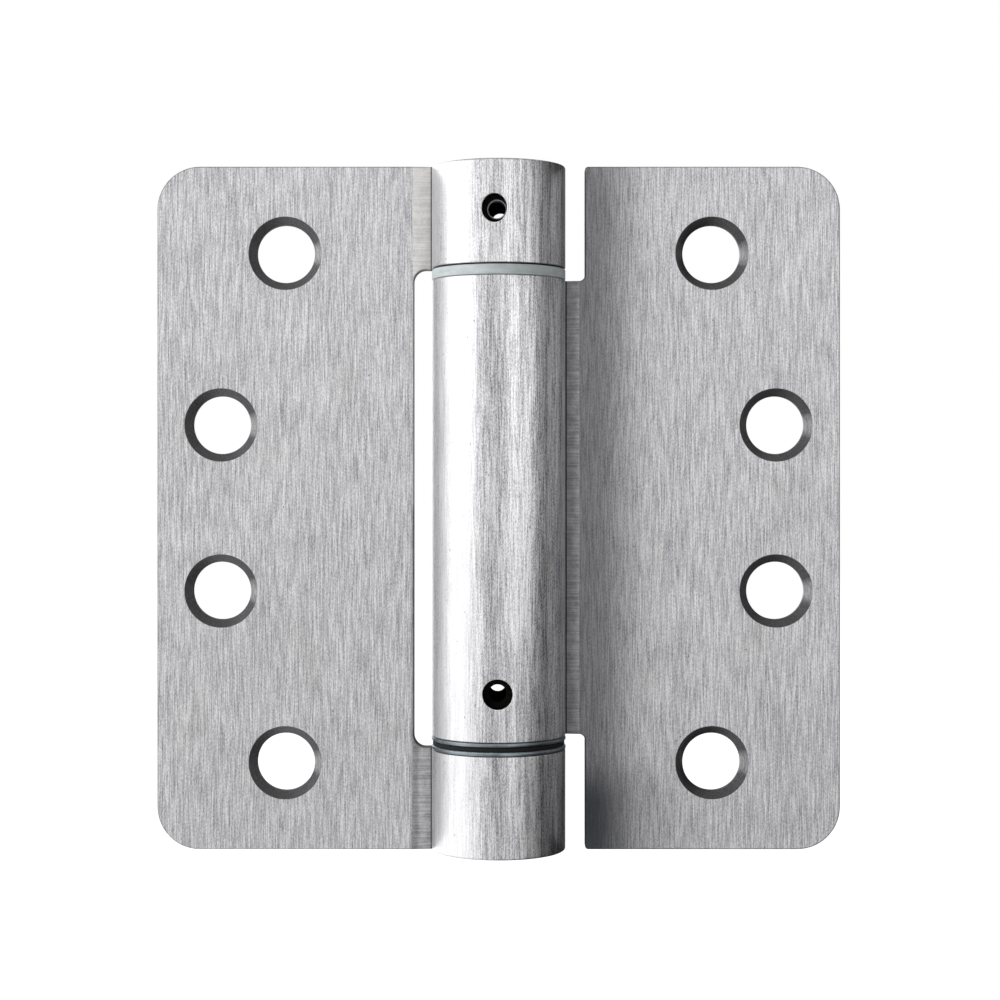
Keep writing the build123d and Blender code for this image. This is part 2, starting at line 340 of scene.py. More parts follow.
# Each grain of the plating: millimetres across and along, detail, shift, and the noise that is 0 and 1.
GRAINS = {
    "fine": (0.12, 4.0, 1.0, 0, 0.3, 0.7),
    "medium": (0.28, 7.0, 1.0, 5, 0.3, 0.7),
    "broad": (5.0, 9.0, 2.0, 9, 0.3, 0.7),
    "bands": (1.1, 45.0, 2.0, 3, 0.38, 0.62),
    "grain": (0.14, 0.3, 1.0, 2, 0.3, 0.7),
    "cross": (6.0, 0.2, 1.0, 7, 0.35, 0.65),
    "patch": (1.2, 1.8, 2.0, 12, 0.3, 0.7),
    "pitted": (4.0, 5.0, 1.0, 0, 0.5, 0.62),
    "stain": (7.0, 9.0, 3.0, 20, 0.58, 0.75),
}
PLAIN_MIX = {"fine": 0.5, "medium": 0.12, "grain": 0.34, "broad": 0.04}
ROLLED_MIX = {"fine": 0.36, "medium": 0.16, "grain": 0.3, "bands": 0.18}
PRESSED_MIX = {"patch": 0.35, "grain": 0.25, "cross": 0.4}
HEIGHT_MIX = {"fine": 0.4, "grain": 0.4, "medium": 0.2}
BUMP_DEPTH = 0.01

# How far the tone is spread, and what the parts of a leaf add to that.
CONTRAST = 1.2
BARREL_CONTRAST = 0.45
STRIP_CONTRAST = -0.1
# The lit flank, the barrel's side towards the jamb, is a painted highlight: fainter streaks and a lighter
# tone.
LIT_FLANK_CONTRAST = -1.05
HARSH_CONTRAST = 0.6
LIT_FLANK_LIFT = 0.1
ANISOTROPY = 0.7
BARREL_ROUGHNESS = 0.26
PLATE_ROUGHNESS = 0.46
TONE_ROUGHNESS = 0.06
CUT_ROUGHNESS = 0.1

# Where masks go from 0 to 1, in millimetres: outside the barrel, round the seam, at the strip's edge, along
# X on the barrel's painted lit flank and on its harsh side, and at mid height.
BARREL_FADE = (0.3, 0.05)
SEAM_FADE = (0.3, 0.18)
SEAM_EDGE = 0.1
SEAM_HEIGHT = 0.9
STRIP_EDGE = 0.05
LIT_FLANK_SIDE = (-2.0, -5.0)
HARSH_SIDE = (2.0, 6.0)
HALVES = (-1.0, 1.0)

# The darkening's places in millimetres, from 0 to 1 too, and its shares.
# A dark band along the jamb's lower strip, and a little all over the jamb leaf.
CREASE_REACH = 12.5
CREASE_FADE = (0.85, 0.25)
CREASE_DARK = 0.42
JAMB_GRIME = 0.1
# Beside the door's barrel and on its strip: a painted shadow of the barrel. At the lower corner a darker
# patch.
BESIDE_REACH, BESIDE_SHADOW = (23.0, 14.0), 0.5
WIDE_REACH, WIDE_SHADOW = (30.0, 16.0), 0.12
CORNER_HEIGHT, CORNER_REACH, CORNER_DARK = (-35.0, -44.0), (34.0, 20.0), 0.26
STRIP_REACH, STRIP_SHADOW = (12.5, 10.0), 0.4
DOOR_GRIME = 0.08


class Plating(Paint):
    """A leaf's plating, which spreads reflections sideways, with masks that are 1 on the rolled barrel, on
    the pressed strip beside it and on the upper half."""

    def __init__(self, name, strip_start):
        super().__init__(name, 1.0)
        self.shader.inputs["Anisotropic"].default_value = ANISOTROPY
        self.radius = LEAF_HIGH.y / MM
        self.reach = abs(self.x)
        from_axis = (self.x * self.x + self.y * self.y) ** 0.5
        self.barrel = from_axis.rise(*(self.radius + edge for edge in BARREL_FADE))
        edge = strip_start / MM
        self.strip = self.reach.rise(edge + STRIP_EDGE, edge - STRIP_EDGE) * (1 - self.barrel)
        self.upper = self.z.rise(*HALVES)

    def seam(self):
        """1 in the seam where the barrel closes against the strip."""
        strip_face = (leaf_sizes().face + leaf_sizes().strip_drop) / MM
        outside = self.reach.rise(*(self.radius + edge for edge in SEAM_FADE))
        return outside * self.y.between(strip_face - SEAM_EDGE, strip_face + SEAM_HEIGHT, SEAM_EDGE)


def jamb_darkening(paint):
    """How dark the jamb leaf is painted: a little all over, and a dark band along the lower strip."""
    crease = abs(paint.reach - CREASE_REACH).rise(*CREASE_FADE) * (1 - paint.upper)
    return crease * CREASE_DARK + (1 - crease) * JAMB_GRIME


def door_shade_and_grime(paint):
    """How dark the door leaf is painted: the barrel's painted shadow, most beside it and on the strip less
    the further out, with a darker patch at the lower corner and a little all over."""
    # The barrel's painted shadow on the door leaf and its strip.
    beside = paint.x.rise(*BESIDE_REACH) * BESIDE_SHADOW + paint.x.rise(*WIDE_REACH) * WIDE_SHADOW
    corner = paint.z.rise(*CORNER_HEIGHT) * paint.x.rise(*CORNER_REACH) * CORNER_DARK
    pressed = paint.x.rise(*STRIP_REACH) * STRIP_SHADOW
    return (beside + corner) * (1 - paint.strip) + pressed * paint.strip + DOOR_GRIME


# How dark a leaf's seam is, the shade and colour of its strip's upper and lower half, and its darkening.
# The jamb strip's upper half takes painted light, the door's strip the barrel's painted shadow.
LEAF_LOOKS = {
    "jamb": {"seam": 0.8, "upper": (0.55, LIT_STRIP), "lower": (0.32, DARKER_STRIP), "shade_and_grime": jamb_darkening},
    "door": {"seam": 1.0, "upper": (0.5, SHADOWED_STRIP), "lower": (0.5, SHADOWED_STRIP), "shade_and_grime": door_shade_and_grime},
}


def satin_plate(leaf, shift, strip_start):
    """Plated sheet brushed along the pin: fine and broad streaks, pits and faint stains. The rolled barrel
    is brushed harder, most on the door's side, and painted lighter with fainter streaks on the jamb's side,
    a painted highlight. The pressed strip has lines across it, painted light on the jamb's upper half and a
    painted shadow on the door's. Cut edges and holes are dark cut metal with painted shade, the seam holds
    a painted shadow, and the door leaf a painted shadow of the barrel beside it."""
    look = LEAF_LOOKS[leaf]
    paint = Plating(f"{leaf}_satin", strip_start)
    barrel, strip, upper = paint.barrel, paint.strip, paint.upper
    # The barrel's lit flank: a painted highlight.
    lit_flank = barrel * paint.x.rise(*LIT_FLANK_SIDE)
    harsh = barrel * paint.x.rise(*HARSH_SIDE)
    grains = {
        kind: paint.noise(across, along, detail, shift + own_shift).rise(low, high)
        for kind, (across, along, detail, own_shift, low, high) in GRAINS.items()
    }
    pits = paint.specks(*PLATE_PITS, shift) * grains["pitted"] * (1 - barrel)
    pits = pits + paint.specks(*BARREL_PITS, shift + BARREL_PIT_SHIFT) * grains["pitted"] * barrel

    plain, rolled, pressed = (mixed(grains, mix) for mix in (PLAIN_MIX, ROLLED_MIX, PRESSED_MIX))
    tone = plain * (1 - barrel) * (1 - strip) + rolled * barrel + pressed * strip
    contrast = CONTRAST + barrel * BARREL_CONTRAST + strip * STRIP_CONTRAST
    contrast = contrast + lit_flank * LIT_FLANK_CONTRAST + harsh * HARSH_CONTRAST
    # The lit flank's lift is a painted highlight.
    colour = ((tone - 0.5) * contrast + 0.5 + lit_flank * LIT_FLANK_LIFT).blend(finish().streak, finish().glint)
    # Painted light on the jamb strip's upper half and the barrel's painted shadow on the door's strip.
    for half, (shade, strip_colour) in ((upper, look["upper"]), (1 - upper, look["lower"])):
        colour = (strip * shade * half).blend(colour, strip_colour)
    colour = (grains["stain"] * STAIN_SHARE).blend(colour, STAIN)
    # Painted shadow of the barrel on the door leaf, a dark band on the jamb's lower strip, and a little
    # dirt.
    colour = (look["shade_and_grime"](paint) * (1 - barrel)).blend(colour, SHADE_AND_GRIME)
    colour = (pits * PIT_SHARE).blend(colour, PIT)
    cut = paint.mark("cut")
    # Cut edges and hole walls: dark cut metal with painted shade.
    colour = cut.blend(colour, finish().cut)
    colour = (paint.seam() * look["seam"]).blend(colour, finish().seam)
    roughness = (1 - barrel) * (PLATE_ROUGHNESS - BARREL_ROUGHNESS) + BARREL_ROUGHNESS
    roughness = roughness + tone * TONE_ROUGHNESS + cut * CUT_ROUGHNESS
    height = (mixed(grains, HEIGHT_MIX) - pits) * (1 - cut)
    return paint.finish(colour, roughness, height, BUMP_DEPTH)


# The painted highlight round the adjuster's pin hole: its colour, fade and side.
RIM_HIGHLIGHT = (0.75, 0.76, 0.77)
RIM_HIGHLIGHT_FADE = (0.09, 0.03)
RIM_HIGHLIGHT_SIDE = (-5.0, -6.0)


def turned_steel(name, colour, ring=0.25, metallic=1.0, rim_highlight=None):
    """Turned metal with fine lines round the axis and a thin film of oil. Thick oil hides the metal. A rim
    highlight is a painted highlight: a bright ring round a cross hole along Y, given by the hole's place,
    height and radius."""
    paint = Paint(name, metallic)
    paint.shader.inputs["Specular IOR Level"].default_value = 0.5 * metallic
    lines = paint.noise(across=5.0, along=ring, detail=3.0).rise(0.3, 0.7)
    grain = paint.noise(across=0.3, along=0.3, shift=4).rise(0.3, 0.7)
    film = paint.noise(across=1.8, along=1.8, shift=8).rise(0.4, 0.7)
    tone = lines * 0.5 + grain * 0.2 + film * 0.3
    colour = tone.blend(*shades(colour, dark=0.45, light=1.35))
    if rim_highlight:
        x, z, radius = (size / MM for size in rim_highlight)
        from_hole = ((paint.x - x) ** 2.0 + (paint.z - z) ** 2.0) ** 0.5
        # Painted highlight on the pin hole's rim.
        highlight_mask = abs(from_hole - radius).rise(*RIM_HIGHLIGHT_FADE) * paint.y.rise(*RIM_HIGHLIGHT_SIDE)
        colour = highlight_mask.blend(colour, RIM_HIGHLIGHT)
    return paint.finish(colour, roughness=0.28 + tone * 0.2, height=lines + grain, depth=0.006)


def moulded(name, colour, least_roughness, ring, gloss=0.5):
    """Moulded plastic: soft mottling, fine lines of its tool and a matte grain."""
    paint = Paint(name, 0.0)
    paint.shader.inputs["Specular IOR Level"].default_value = gloss
    mottle = paint.noise(across=2.5, along=1.2).rise(0.3, 0.7)
    lines = paint.noise(across=8.0, along=ring, shift=3).rise(0.35, 0.65)
    grain = paint.noise(across=0.15, along=0.15, shift=6).rise(0.3, 0.7)
    tone = mottle * 0.4 + lines * 0.3 + grain * 0.3
    colour = tone.blend(*shades(colour, dark=0.78, light=1.2))
    roughness = least_roughness + tone * 0.15
    return paint.finish(colour, roughness, height=grain + lines, depth=0.008)


def unit(vectors):
    return vectors / np.linalg.norm(vectors, axis=-1, keepdims=True)


def heading(angle):
    """The direction at an angle: its cosine and its sine."""
    return np.stack([np.cos(angle), np.sin(angle)], -1)


def revolved(profile, turn):
    """A grid of points: a profile of radius and height, carried round the axis by the turn's heading."""
    level = profile[:, None, :1] * heading(turn)[None]
    height = np.broadcast_to(profile[:, None, 1:], (*level.shape[:2], 1))
    return np.concatenate([level, height], -1).reshape(-1, 3)


def rounded(corners, radii, steps, closed=True):
    """The outline through corners, each replaced by an arc. The arc's centre lies on the corner's bisector
    at radius / sin(half angle), and its points are the two tangent directions turned into each other. A
    corner of radius 0 stays one point."""
    corners = np.asarray(corners, float)
    inner = corners if closed else corners[1:-1]
    radii = np.broadcast_to(np.asarray(radii, float), len(inner))[:, None]
    before = unit((np.roll(corners, 1, 0) - corners)[slice(None) if closed else slice(1, -1)])
    after = unit((np.roll(corners, -1, 0) - corners)[slice(None) if closed else slice(1, -1)])
    half = np.arccos((before * after).sum(1, keepdims=True)) / 2
    centres = inner + unit(before + after) * radii / np.sin(half)
    first = inner + before * radii / np.tan(half) - centres
    last = inner + after * radii / np.tan(half) - centres
    turn = np.pi - 2 * half
    part = np.linspace(0, 1, steps + 1)[None, :, None]
    turn = turn[:, None]
    turned = np.sin((1 - part) * turn) * first[:, None] + np.sin(part * turn) * last[:, None]
    points = (centres[:, None] + turned / np.sin(turn)).reshape(-1, corners.shape[1])
    if not closed:
        return np.vstack([corners[:1], points, corners[-1:]])
    return points[np.linalg.norm(points - np.roll(points, 1, 0), axis=1) > 1e-4 * MM]


def divided(loop, step_across, step_along):
    """The closed loop with points added on each side, so that none is longer than the two steps."""
    sides = np.roll(loop, -1, 0) - loop
    counts = np.ceil(np.max(np.abs(sides) / (step_across, step_along), axis=1) - 1e-6).astype(int)
    counts = np.maximum(counts, 1)
    which = np.repeat(np.arange(len(loop)), counts)
    part = (np.arange(counts.sum()) - np.repeat(np.cumsum(counts) - counts, counts)) / counts[which]
    return loop[which] + sides[which] * part[:, None]


def outward(loop):
    """Mitred normals to the right of a loop: the sum of both sides' normals over 1 plus their product."""
    sides = unit(np.roll(loop, -1, 0) - loop)
    normals = np.stack([sides[:, 1], -sides[:, 0]], 1)
    earlier = np.roll(normals, 1, 0)
    return (normals + earlier) / (1 + (normals * earlier).sum(1, keepdims=True))


def inside(points, loops):
    """Even-odd rule: a point is inside if a ray along the first axis crosses the loops an odd number of
    times."""
    crossings = np.zeros(len(points), int)
    for loop in loops:
        ahead = np.roll(loop, -1, 0)
        above = loop[None, :, 1] > points[:, None, 1]
        above_ahead = ahead[None, :, 1] > points[:, None, 1]
        rise = ahead[:, 1] - loop[:, 1]
        slope = (ahead[:, 0] - loop[:, 0]) / np.where(rise == 0, 1, rise)
        meets = loop[None, :, 0] + (points[:, None, 1] - loop[None, :, 1]) * slope[None]
        crossings += ((above != above_ahead) & (points[:, None, 0] < meets)).sum(1)
    return crossings % 2 == 1


def grid_faces(rows, columns, first=0, wrap_rows=False, wrap_columns=True):
    """Quads between neighbours of a grid whose points are numbered as row * columns + column."""
    row = np.arange(rows if wrap_rows else rows - 1)
    column = np.arange(columns if wrap_columns else columns - 1)
    row, column = (part.ravel() for part in np.meshgrid(row, column, indexing="ij"))
    next_row, next_column = (row + 1) % rows, (column + 1) % columns
    corners = ((row, column), (row, next_column), (next_row, next_column), (next_row, column))
    return first + np.stack([r * columns + c for r, c in corners], 1)


def add_piece(name, points, faces, material, body):
    """A mesh object with one material. Each point's normal is the mean of its faces' weighted by area, so
    broad flats stay flat and narrow roundings carry the turn between them."""
    mesh = bpy.data.meshes.new(name)
    mesh.from_pydata(points.tolist(), [], [face for group in faces for face in group.tolist()])
    mesh.polygons.foreach_set("use_smooth", np.ones(len(mesh.polygons), bool))
    normals = np.zeros_like(points)
    for group in faces:
        corner = points[group]
        area = np.cross(corner[:, 2] - corner[:, 0], corner[:, -1] - corner[:, 1])
        if group.shape[1] == 3:
            area = np.cross(corner[:, 1] - corner[:, 0], corner[:, 2] - corner[:, 0])
        for place in range(group.shape[1]):
            np.add.at(normals, group[:, place], area)
    mesh.normals_split_custom_set_from_vertices(unit(normals).tolist())
    mesh.materials.append(material)
    piece = bpy.data.objects.new(name, mesh)
    bpy.context.scene.collection.objects.link(piece)
    if body:
        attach(piece, body)
    return piece


class FoldedSheet:
    """The map from a flat pattern to a leaf. A place is how far in from the leaf's outer edge, the height,
    and the depth from 0, the front and bore side, to 1, the back and barrel side."""

    def __init__(self, side, strip_start):
        sizes = leaf_sizes()
        self.side = side
        self.reach = LEAF_HIGH.x
        self.barrel = LEAF_HIGH.y
        self.bore = self.barrel - sizes.sheet
        self.face = sizes.face
        self.back = sizes.face + sizes.sheet
        self.strip_start = strip_start
        self.strip_face = sizes.face + sizes.strip_drop
        bend_y = self.back + sizes.back_bend
        self.bend_x = math.sqrt((self.barrel + sizes.back_bend) ** 2 - bend_y**2)
        self.bend_centre = np.array([self.bend_x, bend_y])
        self.back_bend = sizes.back_bend
        inner_y = self.strip_face + sizes.inner_bend
        inner_x = math.sqrt((self.bore + sizes.inner_bend) ** 2 - inner_y**2)
        self.inner_centre = np.array([inner_x, inner_y])
        self.inner_bend = sizes.inner_bend
        end_y = self.strip_face - sizes.seam_gap
        self.outer_start = math.atan2(bend_y, self.bend_x)
        self.inner_start = math.atan2(inner_y, inner_x)
        self.outer_end = 2 * math.pi + math.asin(end_y / self.barrel)
        self.inner_end = 2 * math.pi + math.asin(end_y / self.bore)
        self.bend_in = self.reach - self.bend_x
        self.roll_in = self.bend_in + self.back_bend * (math.pi / 2 - self.outer_start)
        self.end_in = self.roll_in + self.barrel * (self.outer_end - self.outer_start)

    def inner_curve(self, place):
        """Front face, sloped strip, inner bend, then the bore as a circle."""
        x = self.reach - place
        slope = np.clip((self.strip_start - x) / (self.strip_start - self.barrel), 0, 1)
        flat = np.stack([x, self.face + slope * (self.strip_face - self.face)], -1)
        start_y = np.interp(self.bend_x, [self.barrel, self.strip_start], [self.strip_face, self.face])
        start = np.array([self.bend_x, start_y])
        middle = np.array([self.barrel, self.strip_face])
        turn_at = np.array([self.inner_centre[0], self.strip_face])
        arc = self.inner_bend * (math.pi / 2 - self.inner_start)
        knots = np.cumsum([0, math.dist(start, middle), math.dist(middle, turn_at), arc])
        along = np.clip((place - self.bend_in) / (self.roll_in - self.bend_in), 0, 1) * knots[-1]
        line = np.stack([
            np.interp(along, knots[:3], [start[0], middle[0], turn_at[0]]),
            np.interp(along, knots[:3], [start[1], middle[1], turn_at[1]]),
        ], -1)
        angle = -math.pi / 2 - np.clip(along - knots[2], 0, arc) / self.inner_bend
        bend = self.inner_centre + self.inner_bend * heading(angle)
        turned = (place - self.roll_in) / (self.end_in - self.roll_in)
        angle = self.inner_start + turned * (self.inner_end - self.inner_start)
        roll = self.bore * heading(angle)
        corner = np.where((along > knots[2])[..., None], bend, line)
        return self.choose(place, flat, corner, roll)

    def outer_curve(self, place):
        """Flat back, back bend, then the barrel as a circle."""
        flat = np.stack([self.reach - place, np.full_like(place, self.back)], -1)
        angle = -math.pi / 2 - (place - self.bend_in) / self.back_bend
        bend = self.bend_centre + self.back_bend * heading(angle)
        angle = self.outer_start + (place - self.roll_in) / self.barrel
        roll = self.barrel * heading(angle)
        return self.choose(place, flat, bend, roll)

    def choose(self, place, flat, bend, roll):
        place = place[..., None]
        return np.where(place < self.bend_in, flat, np.where(place < self.roll_in, bend, roll))

    def points(self, loop, depth):
        """Points in space: both curves at the place, mixed by depth, at its height, mirrored by side."""
        depth = np.broadcast_to(depth, loop.shape[:-1])[..., None]
        section = self.inner_curve(loop[..., 0]) * (1 - depth) + self.outer_curve(loop[..., 0]) * depth
        return np.concatenate([section * (self.side, 1), loop[..., 1:]], -1)

    def cross_hole(self, x, z, across, along, front, outer, sides=64):
        """The loop where a straight oval hole along Y meets the bore or the barrel, across and along being
        its half sizes: x over the circle's radius is the cosine of the angle round the pin. It runs
        clockwise in the pattern."""
        turn = np.linspace(0, -2 * math.pi, sides, endpoint=False)
        circle = self.barrel if outer else self.bore
        angle = np.arccos((self.side * x + across * np.cos(turn)) / circle)
        angle = 2 * math.pi - angle if front else angle
        start, end = (self.outer_start, self.outer_end) if outer else (self.inner_start, self.inner_end)
        place = self.roll_in + (angle - start) / (end - start) * (self.end_in - self.roll_in)
        loop = np.stack([place, z + along * np.sin(turn)], 1)
        return loop[::-1] if not front else loop


# Steps of a leaf's mesh along the sheet and along the pin, and how near an edge its extra points may lie, as
# a squared share of a step.
COLUMN = 0.35 * MM
ROW = 1.4 * MM
CLEAR_OF_EDGE = 0.3
ARC_STEPS = 5
CORNER_STEPS = 14
SINK_STEPS = 3
INSIDE_LOOPS = 1
SAME_POINT = 1e-7

# A countersink's flat rims, its roundings, and how dark it is, as dark cut metal with painted shade: from
# which depth, and less so in its painted glint.
SINK_RIM = 0.3 * MM
SINK_FOOT = 0.2 * MM
SINK_ROUNDS = (0.18 * MM, 0.1 * MM, 0.08 * MM)
SINK_DARK = 0.86
SINK_DARK_FROM = 0.01
SINK_PAINTED_GLINT = 0.42
PAINTED_GLINT_FROM = 0.92

# A cross hole's first ring, as a share of the wall, and how far it is flared. The sheared edges' darkness,
# and how far behind the back bend the knuckles' set back ends begin.
SKIN = 0.02
BORE_FLARE = 0.05 * MM
# The sheared edges' darkness is dark cut metal with painted shade.
EDGE_DARK = 0.76
SETBACK_STEP = 0.55 * MM


def wall_rings(loop, front_round, back_round):
    """The cut edge all round a loop, from the front face to the back: each rounding leaves its face at its
    radius inside the loop, its points go round a quarter turn, and it darkens on its way to the cut, as dark
    cut metal with painted shade."""
    normals = outward(loop)
    turn = np.linspace(0, math.pi / 2, ARC_STEPS)[:, None]
    thickness = leaf_sizes().sheet
    rise, fall = 1 - np.cos(turn), 1 - np.sin(turn)
    inset = np.concatenate([front_round * fall, back_round * rise])
    depth = np.concatenate([front_round * rise, thickness - back_round * fall])
    rings = loop[None] - normals[None] * inset[..., None]
    dark = np.minimum(turn[:, 0], 1.0) * EDGE_DARK
    return rings, depth / thickness, np.concatenate([dark, dark[::-1]])[:, None]


def pattern_faces(sheet, loops, starts, depth, first):
    """Fills the pattern between loops. Extra points at even steps follow the bends and the roll, and the
    heights are squeezed by COLUMN / ROW while it is divided, so that those steps count alike."""
    squeeze = np.array([1, COLUMN / ROW]) / COLUMN
    height = LEAF_HIGH.z
    across = np.arange(sheet.reach - sheet.strip_start, sheet.end_in, COLUMN)
    along = np.arange(-height, height, ROW)
    extra = np.stack(np.meshgrid(across, along, indexing="ij"), -1).reshape(-1, 2)
    extra = extra[inside(extra, loops)]
    edge = np.concatenate(loops) * squeeze
    near = np.array([np.min(((edge - point) ** 2).sum(1)) for point in extra * squeeze])
    extra = extra[near > CLEAR_OF_EDGE]
    edges = [
        (start + number, start + (number + 1) % len(loop))
        for start, loop in zip(np.cumsum([0] + [len(loop) for loop in loops]).tolist(), loops)
        for number in range(len(loop))
    ]
    flat = np.concatenate([edge, extra * squeeze])
    triangles = np.array(delaunay_2d_cdt(flat.tolist(), edges, [], INSIDE_LOOPS, SAME_POINT)[2])
    middles = flat[triangles].mean(1) / squeeze
    triangles = triangles[~inside(middles, loops[1:])]
    numbers = [np.arange(start, start + len(loop)) for start, loop in zip(starts, loops)]
    numbers = np.concatenate([*numbers, first + np.arange(len(extra))])
    return sheet.points(extra, depth), numbers[triangles]


def build_leaf(side, strip_start, outline, holes, cross):
    """One folded leaf: its outer loop and its holes are cut edges, and the two faces fill between them. The
    last array is how dark the metal is for being cut, with painted shade on it, 0 on both faces."""
    sizes = leaf_sizes()
    sheet = FoldedSheet(side, strip_start)
    loop = divided(outline(sheet), COLUMN, ROW)
    rolled = loop[:, 0] > sheet.roll_in
    at_end = np.abs(loop[:, 1]) > LEAF_HIGH.z - MM
    front_round = np.where(loop[:, 0] > sheet.bend_in, sizes.back_round, sizes.face_round)
    back_round = np.where(rolled, np.where(at_end, sizes.rim_round, sizes.knuckle_round), sizes.back_round)
    walls = [wall_rings(loop, front_round, back_round)]
    for centre, height in holes:
        walls.append(screw_hole(sheet, centre, height))
    for front in (True, False):
        walls.append(cross_hole_wall(sheet, *cross, front))

    points, quads, starts, cut = [], [], [], []
    count = 0
    for rings, depth, dark in walls:
        rows, columns = rings.shape[:2]
        cut.append(np.broadcast_to(dark, (rows, columns)).ravel())
        points.append(sheet.points(rings, depth).reshape(-1, 3))
        quads.append(grid_faces(rows, columns, count))
        starts.append((count, count + (rows - 1) * columns))
        count += rows * columns
    triangles = []
    for which, depth in ((0, 0.0), (-1, 1.0)):
        loops = [rings[which] for rings, _, _ in walls]
        extra, faces = pattern_faces(sheet, loops, [start[which] for start in starts], depth, count)
        points.append(extra)
        cut.append(np.zeros(len(extra)))
        count += len(extra)
        triangles.append(faces if which else faces[:, ::-1])
    faces = [np.concatenate(quads), np.concatenate(triangles)]
    if side < 0:
        faces = [group[:, ::-1] for group in faces]
    return np.concatenate(points), faces, np.concatenate(cut)


def screw_hole(sheet, centre, height, sides=96):
    """A countersunk hole: rings round its centre along a profile that goes down the cone and the wall. Its
    first and last ring lie on the faces, so they aren't dark; the rest is dark cut metal with painted shade,
    and the side at +X holds a painted glint."""
    sizes = leaf_sizes()
    cone = (sizes.screw_head - sizes.screw_hole) / math.tan(sizes.head_angle / 2)
    corners = [
        (sizes.screw_head + SINK_RIM, 0),
        (sizes.screw_head, 0),
        (sizes.screw_hole, cone),
        (sizes.screw_hole, sizes.sheet),
        (sizes.screw_hole + SINK_FOOT, sizes.sheet),
    ]
    profile = rounded(corners, SINK_ROUNDS, SINK_STEPS, closed=False)
    turn = np.linspace(0, -2 * math.pi, sides, endpoint=False)
    rings = (sheet.reach - centre, height) + profile[:, None, :1] * heading(turn)[None]
    depth = profile[:, 1:] / sizes.sheet
    # A painted glint on the side at +X.
    glint = np.clip((-sheet.side * np.cos(turn) - PAINTED_GLINT_FROM) / (1 - PAINTED_GLINT_FROM), 0, 1)
    dark = np.where(depth > SINK_DARK_FROM, SINK_DARK - SINK_PAINTED_GLINT * glint, 0.0)
    dark[-1] = 0.0
    return rings, depth, dark


def cross_hole_wall(sheet, x, z, across, along, bright, front):
    """A straight hole through the barrel's wall: its loop on the bore turned into its loop on the barrel,
    with a rounded rim outside. The outer part of the wall, by the share bright, isn't dark; the rest is dark
    cut metal with painted shade."""
    thickness = leaf_sizes().sheet
    bore_loop = sheet.cross_hole(x, z, across, along, front, outer=False)
    barrel_loop = sheet.cross_hole(x, z, across, along, front, outer=True)
    turn = np.linspace(0, math.pi / 2, ARC_STEPS)
    rim = bpy.context.scene.hinge_holes.rim
    inner = [0.0, SKIN, 1 - bright, 1 - bright + SKIN]
    depth = np.concatenate([inner, 1 - rim / thickness * (1 - np.sin(turn))])[:, None]
    inset = np.concatenate([[BORE_FLARE, 0.0, 0.0, 0.0], rim * (1 - np.cos(turn))])[:, None, None]
    rings = bore_loop[None] * (1 - depth[..., None]) + barrel_loop[None] * depth[..., None]
    normals = np.stack([outward(ring) for ring in rings])
    return rings - normals * inset, depth, (depth <= 1 - bright).astype(float)


def jamb_outline(sheet):
    """The jamb leaf's pattern: plate, the top and bottom knuckles' strips, whose ends are set back from the
    plate's, and a long notch between."""
    sizes = leaf_sizes()
    height, end = LEAF_HIGH.z, LEAF_HIGH.z - sizes.knuckle_setback
    step = sheet.bend_in + SETBACK_STEP
    notch = sheet.reach - (sheet.barrel + sizes.jamb_notch)
    top = BUSH_HIGH.z + bpy.context.scene.hinge_bearings.flange_gap
    bottom = LOWER_RACE_LOW.z
    corners = [
        (0, -height), (step, -height), (step, -end), (sheet.end_in, -end),
        (sheet.end_in, bottom), (notch, bottom), (notch, top), (sheet.end_in, top),
        (sheet.end_in, end), (step, end), (step, height), (0, height),
    ]
    sharp, inner = [0] * 4, sizes.jamb_notch_round
    radii = [sizes.corner, *sharp, inner, inner, *sharp, sizes.corner]
    return rounded(corners, radii, CORNER_STEPS)


def door_outline(sheet):
    """The door leaf's pattern: plate with both inner corners notched, and the centre knuckle's strip."""
    sizes = leaf_sizes()
    height = LEAF_HIGH.z
    notch = sheet.reach - (sheet.barrel + sizes.door_notch)
    top = BUSH_HIGH.z - bpy.context.scene.hinge_bearings.flange
    bottom = UPPER_RACE_HIGH.z
    corners = [
        (0, -height), (notch, -height), (notch, bottom), (sheet.end_in, bottom),
        (sheet.end_in, top), (notch, top), (notch, height), (0, height),
    ]
    tip, inner = sizes.door_tip_round, sizes.door_notch_round
    radii = [sizes.corner, tip, inner, 0, 0, inner, tip, sizes.corner]
    return rounded(corners, radii, CORNER_STEPS)


def tension_level():
    """The height of the tension pin's hole."""
    return LEAF_HIGH.z - leaf_sizes().knuckle_setback - bpy.context.scene.hinge_holes.tension_drop


def screw_places(side_name):
    """Each screw hole of a leaf as its distance from the pin axis and its height."""
    places = []
    for name in (f"{side_name}_end_screws", f"{side_name}_middle_screws"):
        mount = MOUNTS[name]
        half = mount["dims"]["spacing_y_mm"] * MM / 2
        places += [(abs(mount["pos_m"][0]), half), (abs(mount["pos_m"][0]), -half)]
    return places


# Shares of the cross holes' walls that are bright, and the shift of the jamb's and the door's grain.
TENSION_BRIGHT = 0.4
ANCHOR_BRIGHT = 0.12
GRAIN_SHIFT = 11.0


